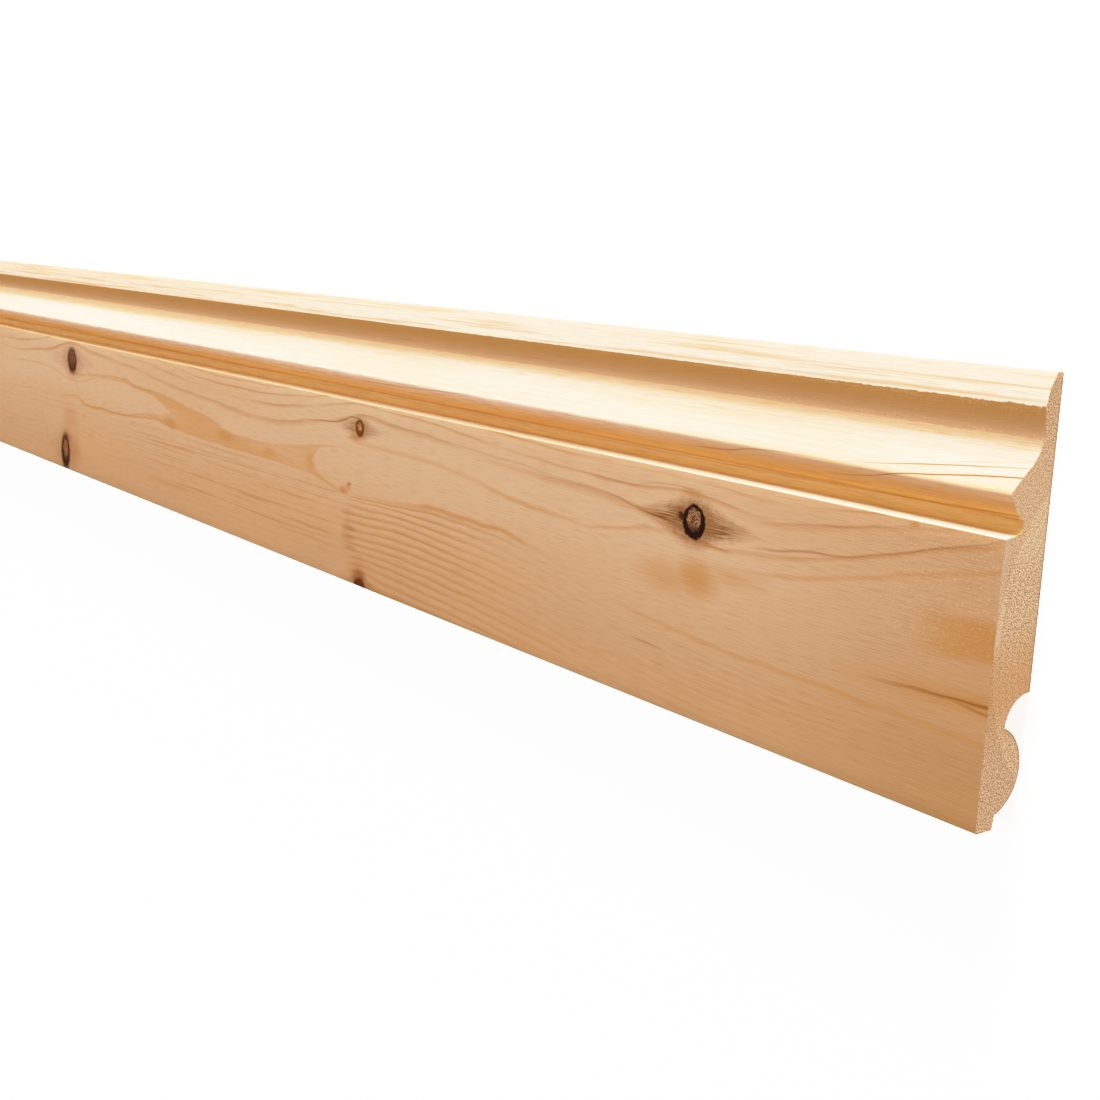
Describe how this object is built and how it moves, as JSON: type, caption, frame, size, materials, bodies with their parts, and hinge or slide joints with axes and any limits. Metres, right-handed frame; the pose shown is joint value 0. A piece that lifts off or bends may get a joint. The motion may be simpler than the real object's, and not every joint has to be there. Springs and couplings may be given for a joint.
{
  "type": "skirting board",
  "caption": "Straight length of softwood skirting board with an ogee moulding on one face and a torus moulding on the other.",
  "frame": {"origin": "centre of the flat back, mid length and mid width, which is the bottom centre of the bounding box", "axes": "+X along the board towards the end that the picture shows, +Y across its width from the torus foot to the thin top edge of the ogee, +Z from the flat back up to the fascia"},
  "size_m": [2.4, 0.144, 0.0205],
  "materials": {
    "pine": "matte"
  },
  "bodies": {
    "root": {"skirting_board": "pine"}
  },
  "joints": []
}
